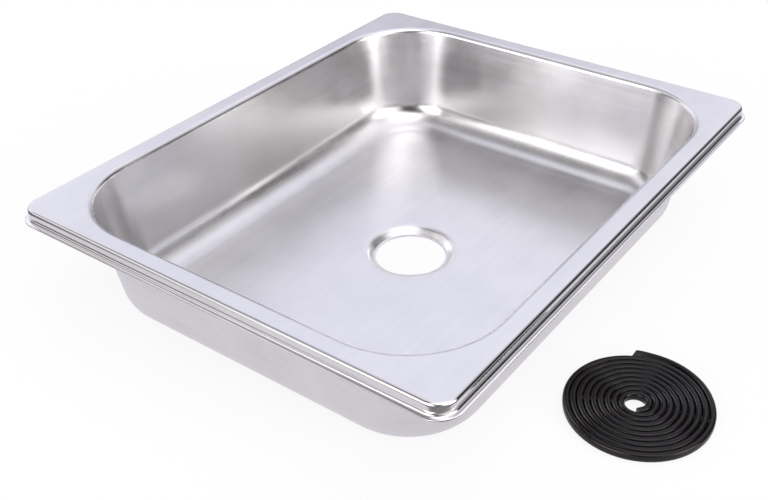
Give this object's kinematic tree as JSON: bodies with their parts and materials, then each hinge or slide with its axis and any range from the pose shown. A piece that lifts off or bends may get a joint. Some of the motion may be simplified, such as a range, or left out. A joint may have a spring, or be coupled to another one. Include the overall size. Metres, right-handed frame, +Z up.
{
  "type": "camper sink",
  "caption": "Shallow rectangular drop-in sink pressed from steel sheet, with a folded rim and a round drain hole, and the coiled rubber strip that seals its rim to a worktop.",
  "frame": {"origin": "on the surface that the sink stands on, under the middle of the drain hole", "axes": "+X along the long side of the rim, +Y along the short side away from the coiled strip, +Z up out of the bowl"},
  "size_m": [0.325, 0.3331, 0.07],
  "materials": {
    "stainless_sheet": "satin",
    "black_rubber": "satin"
  },
  "bodies": {
    "root": {"sink_basin": "stainless_sheet", "sealing_strip": "black_rubber"}
  },
  "joints": []
}
